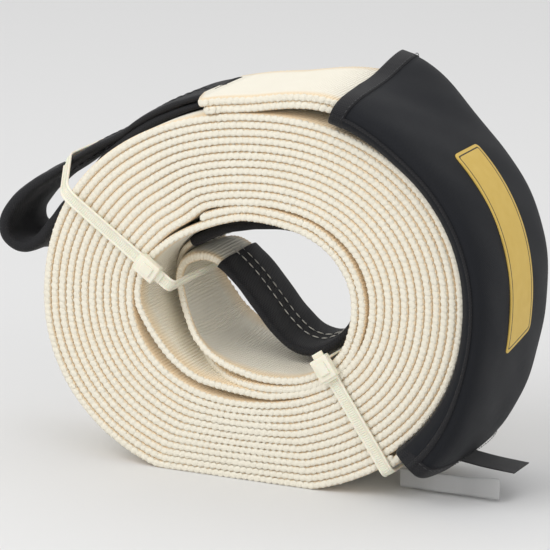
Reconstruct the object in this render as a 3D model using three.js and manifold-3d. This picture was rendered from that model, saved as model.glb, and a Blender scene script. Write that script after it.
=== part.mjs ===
import * as THREE from 'three';
import { mergeVertices } from 'three/addons/utils/BufferGeometryUtils.js';
import Module from 'manifold-3d';

const wasm = await Module();
wasm.setup();

// Webbing, millimetres
const webbingWidth = 100;
const webbingThickness = 5.3;
const fitGap = 0.3;

// Coil: an oval that leans a little and sits on a flattened tread
const turnCount = 12;
const coilHalfWidth = 153;
const coilHalfHeight = 128;
const coilSquareness = 2.15;
const coilLean = 0.035;
const coilFlatDrop = 122.5;
const tightHalfWidth = 86;
const tightHalfHeight = 66;
const outerTurnStart = THREE.MathUtils.degToRad(-43);
const outlineSteps = 96;
const grooveSteps = 34;
const grooveWidth = 0.9;
const grooveDepth = 1.2;
const looseGap = 2.6;
const coilMiddle = coilFlatDrop;

// Eyes: webbing folded lengthwise inside a woven sleeve
const foldedWidth = 54;
const foldedThickness = 6;
const eyeSleeveWall = 1;
const innerEyeSetBack = 13;
const outerEyeSetBack = 18;

// Padded wear sleeve over the outermost turn
const wearHalfWidth = 60;
const wearRise = 25;
const wearSeamRise = 9;
const wearFullness = 3.2;
const wearWall = 4;
const wearLow = THREE.MathUtils.degToRad(-38.5);
const wearHigh = THREE.MathUtils.degToRad(67);
const wearMouthLift = 4;
const wearMouthStart = THREE.MathUtils.degToRad(42);
const wearSteps = 30;

// Flat panel on the wear sleeve
const panelLow = THREE.MathUtils.degToRad(-7);
const panelHigh = THREE.MathUtils.degToRad(41);
const panelWidth = 38;
const panelThickness = 0.8;

// Cable ties
const tieWidth = 9;
const tieThickness = 1.6;
const tieHeadLength = 16;
const tieHeadWidth = 13;
const tieHeadHeight = 6;

// Sewn label tapes
const labelThickness = 1;
const labelTapeWidth = 28;
const labelTapeFront = -20;
const labelTagTop = -108;
const labelTagDrop = 12.5;
const labelReach = 168;

const cream = { color: 0xece6d4, roughness: 0.85, metalness: 0 };
const blackWeave = { color: 0x1b1b1e, roughness: 0.9, metalness: 0 };
const neoprene = { color: 0x23262e, roughness: 0.8, metalness: 0 };
const gold = { color: 0xc9a63c, roughness: 0.6, metalness: 0 };
const naturalNylon = { color: 0xeeead8, roughness: 0.45, metalness: 0 };
const whiteTape = { color: 0xd8d8d6, roughness: 0.8, metalness: 0 };

const group = new THREE.Group();

function place(name, geometry, look) {
  const mesh = new THREE.Mesh(geometry, new THREE.MeshStandardMaterial(look));
  mesh.name = name;
  mesh.position.z = coilMiddle;
  group.add(mesh);
}

function toSolid(geometry) {
  const bare = geometry.clone();
  bare.deleteAttribute('normal');
  bare.deleteAttribute('uv');
  const merged = mergeVertices(bare, 1e-4);
  const vertProperties = Float32Array.from(merged.attributes.position.array);
  const triVerts = Uint32Array.from(merged.index.array);
  return new wasm.Manifold(new wasm.Mesh({ numProp: 3, vertProperties, triVerts }));
}

function toGeometry(solid) {
  const mesh = solid.getMesh();
  const geometry = new THREE.BufferGeometry();
  geometry.setAttribute('position', new THREE.BufferAttribute(mesh.vertProperties, 3));
  geometry.setIndex(new THREE.BufferAttribute(mesh.triVerts, 1));
  return geometry;
}

// A side outline, drawn in X and Z, pushed through from the front to the back
function slab(shape, front, back) {
  const geometry = new THREE.ExtrudeGeometry(shape, { depth: back - front, bevelEnabled: false });
  geometry.rotateX(Math.PI / 2);
  geometry.translate(0, back, 0);
  return geometry;
}

// The side outline of a flat strap that follows a line
function bandShape(points, halfThickness) {
  const outer = [];
  const inner = [];
  points.forEach((point, i) => {
    const before = points[Math.max(i - 1, 0)];
    const after = points[Math.min(i + 1, points.length - 1)];
    const along = after.clone().sub(before).normalize();
    const across = new THREE.Vector2(-along.y, along.x).multiplyScalar(halfThickness);
    outer.push(point.clone().add(across));
    inner.push(point.clone().sub(across));
  });
  return new THREE.Shape([...outer, ...inner.reverse()]);
}

function polar(radius, angle) {
  return new THREE.Vector2(radius * Math.cos(angle), radius * Math.sin(angle));
}

function oval(angle, halfWidth, halfHeight) {
  const across = Math.abs(Math.cos(angle)) / halfWidth;
  const up = Math.abs(Math.sin(angle)) / halfHeight;
  const round = (across ** coilSquareness + up ** coilSquareness) ** (-1 / coilSquareness);
  return round * (1 + coilLean * Math.sin(2 * angle));
}

// Radius of the coil's surfaces, where share runs from 0 to 1 once around, clockwise from the outer end
function surfaceRadius(share, layer) {
  const angle = outerTurnStart - 2 * Math.PI * share;
  const free = oval(angle, coilHalfWidth, coilHalfHeight);
  const tight = oval(angle, tightHalfWidth, tightHalfHeight);
  const shift = (free - tight) / turnCount * (0.5 - share);
  const floor = Math.sin(angle) < 0 ? coilFlatDrop / -Math.sin(angle) : Infinity;
  const outside = Math.min(free + shift, floor);
  return outside + (tight + shift - outside) * layer / turnCount;
}

function turnPoint(turn) {
  const layer = Math.min(Math.floor(turn), turnCount);
  return polar(surfaceRadius(turn - layer, layer), outerTurnStart - 2 * Math.PI * turn);
}

function shareAt(angle) {
  return (((outerTurnStart - angle) / (2 * Math.PI)) % 1 + 1) % 1;
}

// Radius of the tread below whatever lies on the coil
function treadRadius(angle) {
  return surfaceRadius(shareAt(angle), 0);
}

function sampled(count, make) {
  return Array.from({ length: count + 1 }, (_, i) => make(i / count));
}

function smooth(low, high, value) {
  return THREE.MathUtils.smoothstep(value, low, high);
}

// Bore edge: the innermost turn, and the doubled sewn end that runs on inside it to a step
const boreTurn = new THREE.SplineCurve([
  new THREE.Vector2(-8, -58),
  new THREE.Vector2(-27, -56.5),
  new THREE.Vector2(-44, -51.5),
  new THREE.Vector2(-59, -40.5),
  new THREE.Vector2(-71, -26),
  new THREE.Vector2(-80, -11),
  new THREE.Vector2(-80, 5),
  new THREE.Vector2(-70, 23),
  new THREE.Vector2(-51, 37.5),
  new THREE.Vector2(-35, 45.5),
  new THREE.Vector2(-17, 52),
  new THREE.Vector2(-2, 54.5),
  new THREE.Vector2(22, 52.5),
  new THREE.Vector2(46, 45),
  new THREE.Vector2(65, 27),
  new THREE.Vector2(71, 8),
  new THREE.Vector2(70, -9),
  new THREE.Vector2(63, -27),
  new THREE.Vector2(46, -42),
  new THREE.Vector2(22, -49),
  new THREE.Vector2(-8, -50.5),
]);

// The inner eye's line, from the sewn end up the left side, round the loop and back
const innerEyeLine = new THREE.SplineCurve([
  new THREE.Vector2(-12, -54.2),
  new THREE.Vector2(-27, -52.7),
  new THREE.Vector2(-42, -47.8),
  new THREE.Vector2(-56, -37.6),
  new THREE.Vector2(-67, -24),
  new THREE.Vector2(-74, -9),
  new THREE.Vector2(-73.5, 5),
  new THREE.Vector2(-66, 18.5),
  new THREE.Vector2(-52, 29.5),
  new THREE.Vector2(-30, 38),
  new THREE.Vector2(0, 42.5),
  new THREE.Vector2(28, 40.5),
  new THREE.Vector2(48, 32),
  new THREE.Vector2(60, 16),
  new THREE.Vector2(63.5, -2),
  new THREE.Vector2(56.3, -18.8),
  new THREE.Vector2(42.2, -32.7),
  new THREE.Vector2(27.5, -39.2),
  new THREE.Vector2(12, -37.5),
  new THREE.Vector2(-2, -27.5),
  new THREE.Vector2(-12, -13.5),
  new THREE.Vector2(-24, 1),
  new THREE.Vector2(-38, 13),
  new THREE.Vector2(-50, 18),
  new THREE.Vector2(-60, 13.5),
  new THREE.Vector2(-65.5, 3),
  new THREE.Vector2(-65, -9),
  new THREE.Vector2(-58.5, -20),
  new THREE.Vector2(-48.5, -31.5),
  new THREE.Vector2(-36, -40.5),
  new THREE.Vector2(-22, -45.3),
  new THREE.Vector2(-10, -46.5),
]);
const innerEyePoints = innerEyeLine.getSpacedPoints(84);
const innerSleeveFrom = 24;
const innerSleeveTo = 66;

// The outer eye's line: out along the top of the coil, round the tip and back beneath
const legRise = foldedThickness / 2 + eyeSleeveWall + 4 * fitGap;
const legPitch = foldedThickness + 2 * eyeSleeveWall + 3 * fitGap;
const eyeMouth = THREE.MathUtils.degToRad(106);
const upperLegEnd = THREE.MathUtils.degToRad(141);
const lowerLegEnd = THREE.MathUtils.degToRad(158);
const tipPoints = [
  new THREE.Vector2(-138, 82.5),
  new THREE.Vector2(-161, 64),
  new THREE.Vector2(-179, 51),
  new THREE.Vector2(-193, 38),
  new THREE.Vector2(-201, 25),
  new THREE.Vector2(-200, 12),
  new THREE.Vector2(-190, 6.5),
  new THREE.Vector2(-178, 11),
  new THREE.Vector2(-166, 27),
  new THREE.Vector2(-155, 41),
];
const eyeSpread = THREE.MathUtils.degToRad(119);
function spreadFrom(sewn, apart, angle) {
  return THREE.MathUtils.lerp(sewn, apart, smooth(eyeMouth, eyeSpread, angle));
}
const upperLeg = sampled(6, (u) => {
  const angle = THREE.MathUtils.lerp(eyeMouth, upperLegEnd, u);
  const sewn = fitGap + 2 * webbingThickness - foldedThickness / 2;
  return polar(treadRadius(angle) + spreadFrom(sewn, legRise + legPitch, angle), angle);
});
const lowerLeg = sampled(7, (u) => {
  const angle = THREE.MathUtils.lerp(lowerLegEnd, eyeMouth, u);
  const sewn = 2 * fitGap + foldedThickness / 2;
  return polar(treadRadius(angle) + spreadFrom(sewn, legRise, angle), angle);
});
const outerEyeLine = new THREE.SplineCurve([...upperLeg, ...tipPoints, ...lowerLeg]);
const outerEyePoints = outerEyeLine.getSpacedPoints(70);
const outerSleeveFrom = 6;
const outerSleeveTo = 65;

function wearLift(angle) {
  return wearMouthLift * smooth(wearMouthStart, wearHigh, angle);
}

// Height of the wear sleeve's outer face above its inner face, from edge to edge
function wearHeight(share) {
  const crown = (1 - Math.abs(share) ** wearFullness) ** (1 / wearFullness);
  return wearSeamRise + (wearRise - wearSeamRise) * crown;
}

// The coil's outer outline, anticlockwise, with one straight stretch where it rests on its tread
function coilOutline() {
  const points = sampled(outlineSteps, (u) => turnPoint(1 - u));
  const rests = (point) => point && Math.abs(point.y + coilFlatDrop) < 1e-6;
  return points.filter((point, i) => !(rests(point) && rests(points[i - 1]) && rests(points[i + 1])));
}

function strapCoil() {
  const shape = new THREE.Shape(coilOutline());
  shape.holes.push(new THREE.Path(boreTurn.getSpacedPoints(64)));
  shape.holes.push(looseSlot(-118, -184, looseGap));
  shape.holes.push(looseSlot(124, -22, looseGap / 2));
  let solid = toSolid(slab(shape, -webbingWidth / 2, webbingWidth / 2));
  const count = Math.round((turnCount - 2) * grooveSteps);
  const line = sampled(count, (u) => turnPoint(THREE.MathUtils.lerp(1.02, turnCount - 1, u)));
  const groove = bandShape(line, grooveWidth / 2);
  for (const side of [-1, 1]) {
    const middle = side * webbingWidth / 2;
    const cut = slab(groove, middle - grooveDepth, middle + grooveDepth);
    solid = solid.subtract(toSolid(cut));
  }
  return toGeometry(solid);
}

// A narrow gap between the tight turns and the loose innermost one, pointed at both ends
function looseSlot(fromDegrees, toDegrees, gap) {
  const from = THREE.MathUtils.degToRad(fromDegrees);
  const to = THREE.MathUtils.degToRad(toDegrees);
  const edge = (sunk) => sampled(26, (u) => {
    const angle = THREE.MathUtils.lerp(from, to, u);
    const depth = sunk ? fitGap + gap * Math.sin(Math.PI * u) ** 0.5 : 0;
    return polar(surfaceRadius(shareAt(angle), turnCount) - depth, angle);
  });
  return new THREE.Path([...edge(false), ...edge(true).reverse()]);
}

function foldedStrap(points, setBack) {
  const half = foldedWidth / 2;
  return slab(bandShape(points, foldedThickness / 2), setBack - half, setBack + half);
}

// A woven sleeve around the folded strap, open at both ends
function eyeSleeve(points, from, to, setBack) {
  const half = foldedWidth / 2 + fitGap;
  const hollow = foldedThickness / 2 + fitGap;
  const shell = slab(bandShape(points.slice(from, to + 1), hollow + eyeSleeveWall),
    setBack - half - eyeSleeveWall, setBack + half + eyeSleeveWall);
  const room = slab(bandShape(points.slice(from - 1, to + 2), hollow), setBack - half, setBack + half);
  return toGeometry(toSolid(shell).subtract(toSolid(room)));
}

// The doubled strap inside the wear sleeve, lying over the top of the coil to the eye
function outerEnd() {
  const lowEnd = outerTurnStart + fitGap / coilHalfWidth;
  const highEnd = THREE.MathUtils.degToRad(112);
  const seated = webbingThickness + fitGap;
  const sleeved = seated + wearWall + 2 * fitGap;
  const line = sampled(44, (u) => {
    const angle = THREE.MathUtils.lerp(lowEnd, highEnd, u);
    const release = smooth(wearHigh, THREE.MathUtils.degToRad(95), angle);
    const rise = THREE.MathUtils.lerp(sleeved + wearLift(angle), seated, release);
    return polar(treadRadius(angle) + rise, angle);
  });
  const lead = toSolid(slab(bandShape(line, webbingThickness), -webbingWidth / 2, webbingWidth / 2));
  return toGeometry(lead.add(toSolid(foldedStrap(outerEyePoints, outerEyeSetBack))));
}

// Path along the wear sleeve's inner face
function wearPath(low, high) {
  const points = sampled(24, (u) => {
    const angle = THREE.MathUtils.lerp(low, high, u);
    const point = polar(treadRadius(angle) + fitGap + wearLift(angle), angle);
    return new THREE.Vector3(point.x, 0, point.y);
  });
  return new THREE.CatmullRomCurve3(points);
}

// Section of the wear sleeve, or of the room inside it when sunk by the wall
function wearSection(inset) {
  const top = sampled(14, (u) => {
    const share = Math.cos(Math.PI * u);
    return new THREE.Vector2(share * (wearHalfWidth - inset), wearHeight(share) - inset);
  });
  const corner = (wearHalfWidth - inset) * 0.93;
  return [...top, new THREE.Vector2(-corner, inset), new THREE.Vector2(corner, inset)];
}

function wearSleeve() {
  const shape = new THREE.Shape(wearSection(0));
  shape.holes.push(new THREE.Path(wearSection(wearWall)));
  const path = wearPath(wearLow, wearHigh);
  return new THREE.ExtrudeGeometry(shape, { steps: wearSteps, extrudePath: path, bevelEnabled: false });
}

function printPanel() {
  const edge = (rise) => sampled(6, (u) => {
    const across = (u - 0.5) * panelWidth;
    return new THREE.Vector2(across, wearHeight(across / wearHalfWidth) + rise);
  });
  const shape = new THREE.Shape([...edge(fitGap), ...edge(fitGap + panelThickness).reverse()]);
  const path = wearPath(panelLow, panelHigh);
  return new THREE.ExtrudeGeometry(shape, { steps: 16, extrudePath: path, bevelEnabled: false });
}

// A tie looped round the coil: from is its place inside the bore, to its place outside
function cableTie(from, to, headAlong) {
  const along = to.clone().sub(from);
  const length = along.length();
  along.normalize();
  const half = webbingWidth / 2 + fitGap;
  const loop = (grow) => {
    const low = -grow;
    const high = length + grow;
    const side = half + grow;
    const cut = grow + 1;
    return [[low, -side + cut], [low + cut, -side], [high - cut, -side], [high, -side + cut],
      [high, side - cut], [high - cut, side], [low + cut, side], [low, side - cut]]
      .map(([a, b]) => new THREE.Vector2(a, b));
  };
  const shape = new THREE.Shape(loop(tieThickness));
  shape.holes.push(new THREE.Path(loop(0)));
  const strap = new THREE.ExtrudeGeometry(shape, { depth: tieWidth, bevelEnabled: false });
  strap.translate(0, 0, -tieWidth / 2);
  const head = new THREE.BoxGeometry(tieHeadLength, tieHeadHeight, tieHeadWidth);
  head.translate(headAlong, -half - tieHeadHeight / 2, 0);
  const solid = toSolid(strap).add(toSolid(head));
  const frame = new THREE.Matrix4().makeBasis(
    new THREE.Vector3(along.x, 0, along.y),
    new THREE.Vector3(0, 1, 0),
    new THREE.Vector3(-along.y, 0, along.x),
  );
  frame.setPosition(from.x, 0, from.y);
  return toGeometry(solid).applyMatrix4(frame);
}

// A tape sewn under the wear sleeve's lower hem
function labelTape() {
  const line = [
    new THREE.Vector2(131.6, -99.8),
    new THREE.Vector2(150, -103.4),
    new THREE.Vector2(labelReach, -106.4),
  ];
  return slab(bandShape(line, labelThickness / 2), labelTapeFront, labelTapeFront + labelTapeWidth);
}

// The printed tag folded down from the tape's front edge
function labelTag() {
  const shape = new THREE.Shape([
    new THREE.Vector2(111, labelTagTop - labelTagDrop),
    new THREE.Vector2(labelReach, labelTagTop - labelTagDrop),
    new THREE.Vector2(labelReach, labelTagTop + 2),
    new THREE.Vector2(138, labelTagTop),
    new THREE.Vector2(113, labelTagTop),
  ]);
  const back = labelTapeFront - fitGap;
  return slab(shape, back - labelThickness, back);
}

place('strap_coil', strapCoil(), cream);
place('strap_inner_eye', foldedStrap(innerEyePoints, innerEyeSetBack), cream);
place('inner_eye_sleeve', eyeSleeve(innerEyePoints, innerSleeveFrom, innerSleeveTo, innerEyeSetBack), blackWeave);
place('strap_outer_end', outerEnd(), cream);
place('outer_eye_sleeve', eyeSleeve(outerEyePoints, outerSleeveFrom, outerSleeveTo, outerEyeSetBack), blackWeave);
place('wear_sleeve', wearSleeve(), neoprene);
place('print_panel', printPanel(), gold);
place('cable_tie_lower', cableTie(new THREE.Vector2(53.3, -33.4), new THREE.Vector2(101, -103), 4), naturalNylon);
place('cable_tie_upper', cableTie(new THREE.Vector2(-58, 5), new THREE.Vector2(-158, 74.5), 19), naturalNylon);
place('label_tape', labelTape(), blackWeave);
place('label_tag', labelTag(), whiteTape);

// The origin is under the middle of the whole strap, on the surface that it rests on
const bounds = new THREE.Box3().setFromObject(group);
const middle = bounds.getCenter(new THREE.Vector3());
group.position.set(-middle.x, -middle.y, -bounds.min.z);

export default group;
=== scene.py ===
import math

import bmesh
import bpy
from mathutils import Matrix, Vector


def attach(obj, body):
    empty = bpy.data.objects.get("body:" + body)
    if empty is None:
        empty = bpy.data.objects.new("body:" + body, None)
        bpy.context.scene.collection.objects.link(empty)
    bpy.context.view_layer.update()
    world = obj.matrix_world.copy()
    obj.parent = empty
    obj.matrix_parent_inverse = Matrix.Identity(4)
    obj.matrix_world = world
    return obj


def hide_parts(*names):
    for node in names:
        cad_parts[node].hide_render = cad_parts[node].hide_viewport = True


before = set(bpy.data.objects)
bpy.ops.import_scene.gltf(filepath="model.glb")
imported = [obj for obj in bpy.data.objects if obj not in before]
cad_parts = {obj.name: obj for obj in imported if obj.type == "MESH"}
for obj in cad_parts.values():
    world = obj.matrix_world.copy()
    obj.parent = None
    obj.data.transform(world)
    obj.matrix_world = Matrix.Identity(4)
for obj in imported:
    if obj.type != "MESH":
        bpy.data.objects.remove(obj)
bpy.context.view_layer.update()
wholeTurn = 2 * math.pi

# The coil's middle in the part's frame; all shapes below are in millimetres from it
coilMiddle = (14.09, 0.0, 122.5)


def spot(x, y, z):
    return Vector(((x + coilMiddle[0]) / 1000, y / 1000, (z + coilMiddle[2]) / 1000))


photoCamera = {
    "towards": (0.4003, -0.8825, 0.2470),
    "right": (0.9094, 0.4158, 0.0117),
    "up": (-0.1130, 0.2200, 0.9689),
    "place": (1199.0, -2654.9, 750.2),
    "lens": 294.5,
}


def addCamera():
    camera = bpy.data.objects.new("photoCamera", bpy.data.cameras.new("photoCamera"))
    bpy.context.scene.collection.objects.link(camera)
    axes = [Vector(photoCamera[side]).normalized() for side in ("right", "up", "towards")]
    turn = Matrix(axes).transposed().to_4x4()
    camera.matrix_world = Matrix.Translation(spot(*photoCamera["place"])) @ turn
    camera.data.lens = photoCamera["lens"]
    camera.data.sensor_width = 36
    bpy.context.scene.camera = camera


addCamera()
print("camera set")


# Shader maths on sockets

class Wire:
    def __init__(self, finish, socket):
        self.finish = finish
        self.socket = socket

    def maths(self, operation, *values):
        sockets = {i: value for i, value in enumerate(values)}
        return self.finish.add("ShaderNodeMath", {"operation": operation}, sockets)

    def __add__(self, other):
        return self.maths("ADD", self, other)

    def __sub__(self, other):
        return self.maths("SUBTRACT", self, other)

    def __rsub__(self, other):
        return self.maths("SUBTRACT", other, self)

    def __mul__(self, other):
        return self.maths("MULTIPLY", self, other)

    __radd__ = __add__
    __rmul__ = __mul__

    def wave(self, pitch):
        return self.maths("SINE", self * (wholeTurn / pitch))

    def size(self):
        return self.maths("ABSOLUTE", self)

    def above(self, edge):
        return self.maths("GREATER_THAN", self, edge)


class Finish:
    def __init__(self, name, **uniform):
        self.material = bpy.data.materials.new(name)
        self.material.use_nodes = True
        self.tree = self.material.node_tree
        self.tree.nodes.clear()
        self.surface = self.tree.nodes.new("ShaderNodeBsdfPrincipled")
        output = self.tree.nodes.new("ShaderNodeOutputMaterial")
        self.tree.links.new(self.surface.outputs[0], output.inputs["Surface"])
        for socket, value in uniform.items():
            self.surface.inputs[socket.replace("_", " ")].default_value = value

    def fill(self, node, sockets):
        for key, value in sockets.items():
            if isinstance(value, Wire):
                self.tree.links.new(value.socket, node.inputs[key])
            else:
                node.inputs[key].default_value = value

    def add(self, kind, settings=None, sockets=None, output=0):
        node = self.tree.nodes.new(kind)
        for key, value in (settings or {}).items():
            setattr(node, key, value)
        self.fill(node, sockets or {})
        return Wire(self, node.outputs[output])

    def clothPlace(self):
        place = self.add("ShaderNodeUVMap", {"uv_map": "cloth"})
        return [self.add("ShaderNodeSeparateXYZ", None, {0: place}, i) for i in range(2)]

    def objectPlace(self):
        return self.add("ShaderNodeTexCoord", None, None, "Object")

    def grain(self, scale, detail=3.0):
        sockets = {"Vector": self.objectPlace(), "Scale": scale, "Detail": detail}
        return self.add("ShaderNodeTexNoise", None, sockets)

    def mark(self, name):
        return self.add("ShaderNodeAttribute", {"attribute_name": name}, None, "Fac")

    def blend(self, share, first, second):
        sockets = {0: share, 6: first, 7: second}
        return self.add("ShaderNodeMix", {"data_type": "RGBA"}, sockets, 2)

    def finish(self, colour, roughness, height, depth):
        sockets = {"Height": height, "Distance": depth, "Strength": 1.0}
        bump = self.add("ShaderNodeBump", None, sockets)
        self.fill(self.surface, {"Base Color": colour, "Roughness": roughness, "Normal": bump})
        return self.material


webbingLook = {
    "light": (0.93, 0.89, 0.77, 1),
    # the next colour is painted shade: orange darkening on the rims' flanks, between the wound turns
    "paintedGapShade": (0.80, 0.50, 0.17, 1),
    "hollow": (0.74, 0.65, 0.48, 1),
    "ribPitch": 0.0023,
    "yarnPitch": 0.0026,
    "roughness": 0.72,
    "depth": 0.0005,
}


def creamWebbing():
    cloth = Finish("creamWebbing", Sheen_Weight=0.25, Sheen_Roughness=0.5)
    along, across = cloth.clothPlace()
    rib = along.wave(webbingLook["ribPitch"])
    yarn = (across + along * 0.5).wave(webbingLook["yarnPitch"])
    weave = rib * 0.35 + yarn * rib * 0.15 + 0.5
    patches = cloth.grain(60.0)
    worn = cloth.grain(900.0)
    shade = (1 - weave) * 0.25 + (1 - patches) * 0.12
    colour = cloth.blend(shade, webbingLook["light"], webbingLook["hollow"])
    # painted shade: orange darkening on the rims' flanks, where the turns lie against each other
    colour = cloth.blend(cloth.mark("gapShade"), colour, webbingLook["paintedGapShade"])
    roughness = webbingLook["roughness"] + worn * 0.16
    return cloth.finish(colour, roughness, weave + worn * 0.2, webbingLook["depth"])


rimYarnLook = {"fineScale": 1100.0, "patchScale": 45.0, "roughness": 0.68, "depth": 0.0009}


def rimYarn():
    cloth = Finish("rimYarn", Sheen_Weight=0.25, Sheen_Roughness=0.5)
    fine = cloth.grain(rimYarnLook["fineScale"])
    patches = cloth.grain(rimYarnLook["patchScale"])
    shade = (1 - fine) * 0.35 + (1 - patches) * 0.15
    colour = cloth.blend(shade, webbingLook["light"], webbingLook["hollow"])
    return cloth.finish(colour, rimYarnLook["roughness"] + fine * 0.18, fine, rimYarnLook["depth"])


blackWeaveLook = {
    "dark": (0.004, 0.004, 0.005, 1),
    "light": (0.014, 0.014, 0.017, 1),
    "pitch": 0.0021,
    "roughness": 0.62,
    "depth": 0.0003,
}


def blackWeave():
    cloth = Finish("blackWeave", Sheen_Weight=0.05, Specular_IOR_Level=0.35)
    along, across = cloth.clothPlace()
    twill = (along + across).wave(blackWeaveLook["pitch"])
    counter = (along - across).wave(blackWeaveLook["pitch"])
    weave = twill * 0.25 + counter * 0.25 + 0.5
    patches = cloth.grain(70.0)
    colour = cloth.blend(weave * 0.6 + patches * 0.3, blackWeaveLook["dark"], blackWeaveLook["light"])
    return cloth.finish(colour, blackWeaveLook["roughness"] + patches * 0.25, weave, blackWeaveLook["depth"])


neopreneLook = {
    "dark": (0.004, 0.0045, 0.006, 1),
    "light": (0.011, 0.0125, 0.017, 1),
    "pitch": 0.0013,
    "roughness": 0.60,
    "depth": 0.00025,
}


def neoprene():
    cloth = Finish("neoprene", Sheen_Weight=0.05, Sheen_Roughness=0.4, Specular_IOR_Level=0.24)
    along, across = cloth.clothPlace()
    knit = along.wave(neopreneLook["pitch"]) * across.wave(neopreneLook["pitch"]) * 0.5 + 0.5
    patches = cloth.grain(28.0, 4.0)
    colour = cloth.blend(knit * 0.45 + patches * 0.45, neopreneLook["dark"], neopreneLook["light"])
    roughness = neopreneLook["roughness"] + patches * 0.25
    return cloth.finish(colour, roughness, knit * 0.7 + patches * 0.6, neopreneLook["depth"])


printLook = {
    "gold": (0.60, 0.40, 0.075, 1),
    "pale": (0.68, 0.48, 0.12, 1),
    "line": (0.03, 0.024, 0.015, 1),
    "lineInset": 0.0028,
    "lineHalf": 0.0005,
    "roughness": 0.42,
    "depth": 0.0001,
}


def goldPrint():
    ink = Finish("goldPrint", Specular_IOR_Level=0.35)
    patches = ink.grain(120.0)
    fine = ink.grain(1500.0)
    inset = ink.mark("inset")
    line = 1 - ((inset - printLook["lineInset"]).size() - printLook["lineHalf"]).above(0.0)
    colour = ink.blend(patches, printLook["gold"], printLook["pale"])
    colour = ink.blend(line, colour, printLook["line"])
    return ink.finish(colour, printLook["roughness"] + fine * 0.2, fine + line * 0.5, printLook["depth"])


nylonLook = {
    "dark": (0.80, 0.755, 0.60, 1),
    "light": (0.90, 0.865, 0.74, 1),
    "roughness": 0.30,
    "depth": 0.00008,
}


def tieNylon():
    nylon = Finish("tieNylon", Subsurface_Weight=0.15, Subsurface_Scale=0.002, Specular_IOR_Level=0.5)
    cloudy = nylon.grain(160.0)
    fine = nylon.grain(1800.0)
    colour = nylon.blend(cloudy, nylonLook["dark"], nylonLook["light"])
    return nylon.finish(colour, nylonLook["roughness"] + fine * 0.2, fine, nylonLook["depth"])


threadLook = {
    "whiteThread": ((0.45, 0.43, 0.38, 1), (0.75, 0.73, 0.66, 1)),
    "blackThread": ((0.006, 0.006, 0.007, 1), (0.03, 0.03, 0.034, 1)),
    "roughness": 0.6,
    "depth": 0.0002,
}


def plainThread(name):
    thread = Finish(name, Sheen_Weight=0.2)
    fine = thread.grain(2200.0)
    colour = thread.blend(fine, *threadLook[name])
    return thread.finish(colour, threadLook["roughness"] + fine * 0.2, fine, threadLook["depth"])


labelLook = {
    "tagCloth": ((0.34, 0.34, 0.34, 1), (0.62, 0.62, 0.61, 1)),
    "tapeCloth": ((0.008, 0.008, 0.009, 1), (0.03, 0.03, 0.033, 1)),
    "pitch": 0.0007,
    "roughness": 0.55,
    "depth": 0.0001,
}


def labelCloth(name):
    cloth = Finish(name, Sheen_Weight=0.1)
    along, across = cloth.clothPlace()
    weave = along.wave(labelLook["pitch"]) * across.wave(labelLook["pitch"]) * 0.5 + 0.5
    patches = cloth.grain(90.0)
    colour = cloth.blend(weave * 0.5 + patches * 0.3, *labelLook[name])
    return cloth.finish(colour, labelLook["roughness"] + patches * 0.3, weave, labelLook["depth"])


creamCloth = creamWebbing()
rimCloth = rimYarn()
sleeveCloth = blackWeave()
neopreneCloth = neoprene()
goldInk = goldPrint()
nylon = tieNylon()
whiteThread = plainThread("whiteThread")
blackThread = plainThread("blackThread")
tagCloth = labelCloth("tagCloth")
tapeCloth = labelCloth("tapeCloth")
print("finishes made")


# Lines, sections and skins

def smooth(low, high, value):
    share = min(max((value - low) / (high - low), 0.0), 1.0)
    return share * share * (3 - 2 * share)


def mix(first, second, share):
    return first + (second - first) * share


def spaced(points, step):
    # Even steps along the first two numbers of each point; the other numbers follow
    gone = [0.0]
    for before, after in zip(points, points[1:]):
        gone.append(gone[-1] + math.dist(before[:2], after[:2]))
    count = max(round(gone[-1] / step), 1)
    result = []
    k = 0
    for i in range(count + 1):
        place = gone[-1] * i / count
        while k < len(points) - 2 and gone[k + 1] < place:
            k += 1
        share = (place - gone[k]) / max(gone[k + 1] - gone[k], 1e-9)
        result.append(tuple(mix(a, b, share) for a, b in zip(points[k], points[k + 1])))
    return result


def curveThrough(knots, step, fine=14):
    dense = []
    for i in range(len(knots) - 1):
        around = [knots[max(i - 1, 0)], knots[i], knots[i + 1], knots[min(i + 2, len(knots) - 1)]]
        for k in range(fine):
            t = k / fine
            dense.append(tuple(0.5 * (2 * b + (c - a) * t + (2 * a - 5 * b + 4 * c - d) * t * t
                                      + (3 * b - a - 3 * c + d) * t ** 3) for a, b, c, d in zip(*around)))
    dense.append(knots[-1])
    return spaced(dense, step)


def leftOf(line, i):
    # The direction square to the line in the side view, on its left
    before, after = line[max(i - 1, 0)], line[min(i + 1, len(line) - 1)]
    x, z = after[0] - before[0], after[1] - before[1]
    length = math.hypot(x, z) or 1.0
    return -z / length, x / length


def shifted(line, offset):
    result = []
    for i, point in enumerate(line):
        x, z = leftOf(line, i)
        result.append((point[0] + x * offset, point[1] + z * offset) + tuple(point[2:]))
    return result


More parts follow.
